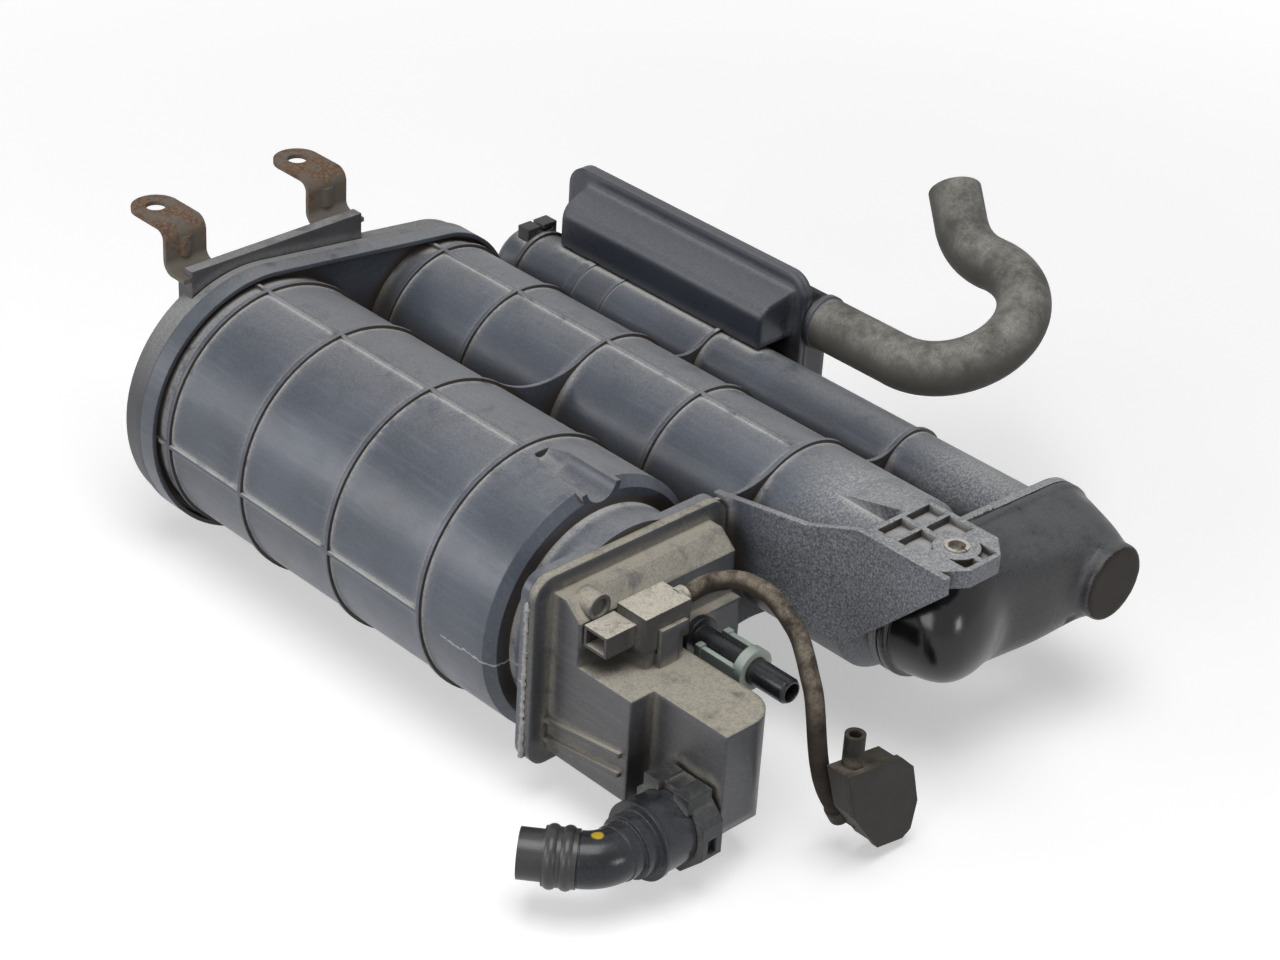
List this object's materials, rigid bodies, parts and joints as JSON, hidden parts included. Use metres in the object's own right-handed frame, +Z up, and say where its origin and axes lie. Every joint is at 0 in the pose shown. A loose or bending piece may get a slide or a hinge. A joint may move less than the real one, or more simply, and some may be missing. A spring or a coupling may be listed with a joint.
{
  "type": "charcoal canister",
  "caption": "Fuel vapour charcoal canister: ribbed chambers side by side in one moulded body, with valve housing, quick-connect elbow, drain filter box, hose and steel mounting bracket.",
  "frame": {"origin": "middle of the floor outline, at the lowest point of the rear cover, without the sensor hose and breather", "axes": "+X from the large chamber towards the narrow one, +Y towards the steel bracket, +Z up"},
  "size_m": [0.3954, 0.4062, 0.149],
  "materials": {
    "body_plastic": "satin slate-grey moulded polyamide, dusty",
    "cover_plastic": "satin dark grey moulded polyamide, dusty",
    "bracket_steel": "thin dark paint with brown rust",
    "housing_plastic": "satin dark grey polyamide under pale dust",
    "cap_plastic": "black polyamide, glossy",
    "bush_steel": "zinc-plated steel",
    "black_plastic": "black moulded plastic",
    "filter_plastic": "dark blue-black satin plastic",
    "foam": "open-cell filter foam",
    "hose_rubber": "matt grey-brown rubber",
    "terminal_brass": "tinned brass",
    "seal_rubber": "black rubber",
    "sensor_hose_rubber": "dusty brown rubber",
    "breather_plastic": "black plastic, speckled with dirt",
    "gloss_black_plastic": "glossy black polyamide",
    "mint_plastic": "pale mint plastic",
    "carbon": "activated carbon pellets",
    "fleece": "polyester fleece",
    "plate_plastic": "slotted polyamide plate",
    "spring_steel": "spring steel wire"
  },
  "bodies": {
    "root": {"body_shell": "body_plastic", "rear_cover": "cover_plastic", "rear_bracket": "bracket_steel", "front_housing": "housing_plastic", "end_cap": "cap_plastic", "tab_bushing": "bush_steel", "wiring_clip": "black_plastic", "filter_case": "filter_plastic", "filter_cover": "filter_plastic", "filter_foam": "foam", "drain_hose": "hose_rubber", "sensor_body": "black_plastic", "sensor_terminals": "terminal_brass", "sensor_seal": "seal_rubber", "sensor_hose": "sensor_hose_rubber", "breather_body": "breather_plastic", "breather_cover": "breather_plastic", "breather_foam": "foam", "purge_pipe": "gloss_black_plastic", "purge_retainer": "mint_plastic", "elbow_connector": "gloss_black_plastic", "connector_lock": "black_plastic", "connector_seals": "seal_rubber", "elbow_hose": "hose_rubber", "large_carbon": "carbon", "mid_carbon": "carbon", "narrow_carbon": "carbon", "large_front_fleece": "fleece", "large_rear_fleece": "fleece", "mid_front_fleece": "fleece", "mid_rear_fleece": "fleece", "narrow_front_fleece": "fleece", "narrow_rear_fleece": "fleece", "large_plate": "plate_plastic", "mid_plate": "plate_plastic", "narrow_plate": "plate_plastic", "large_spring": "spring_steel", "mid_spring": "spring_steel", "narrow_spring": "spring_steel"}
  },
  "joints": []
}
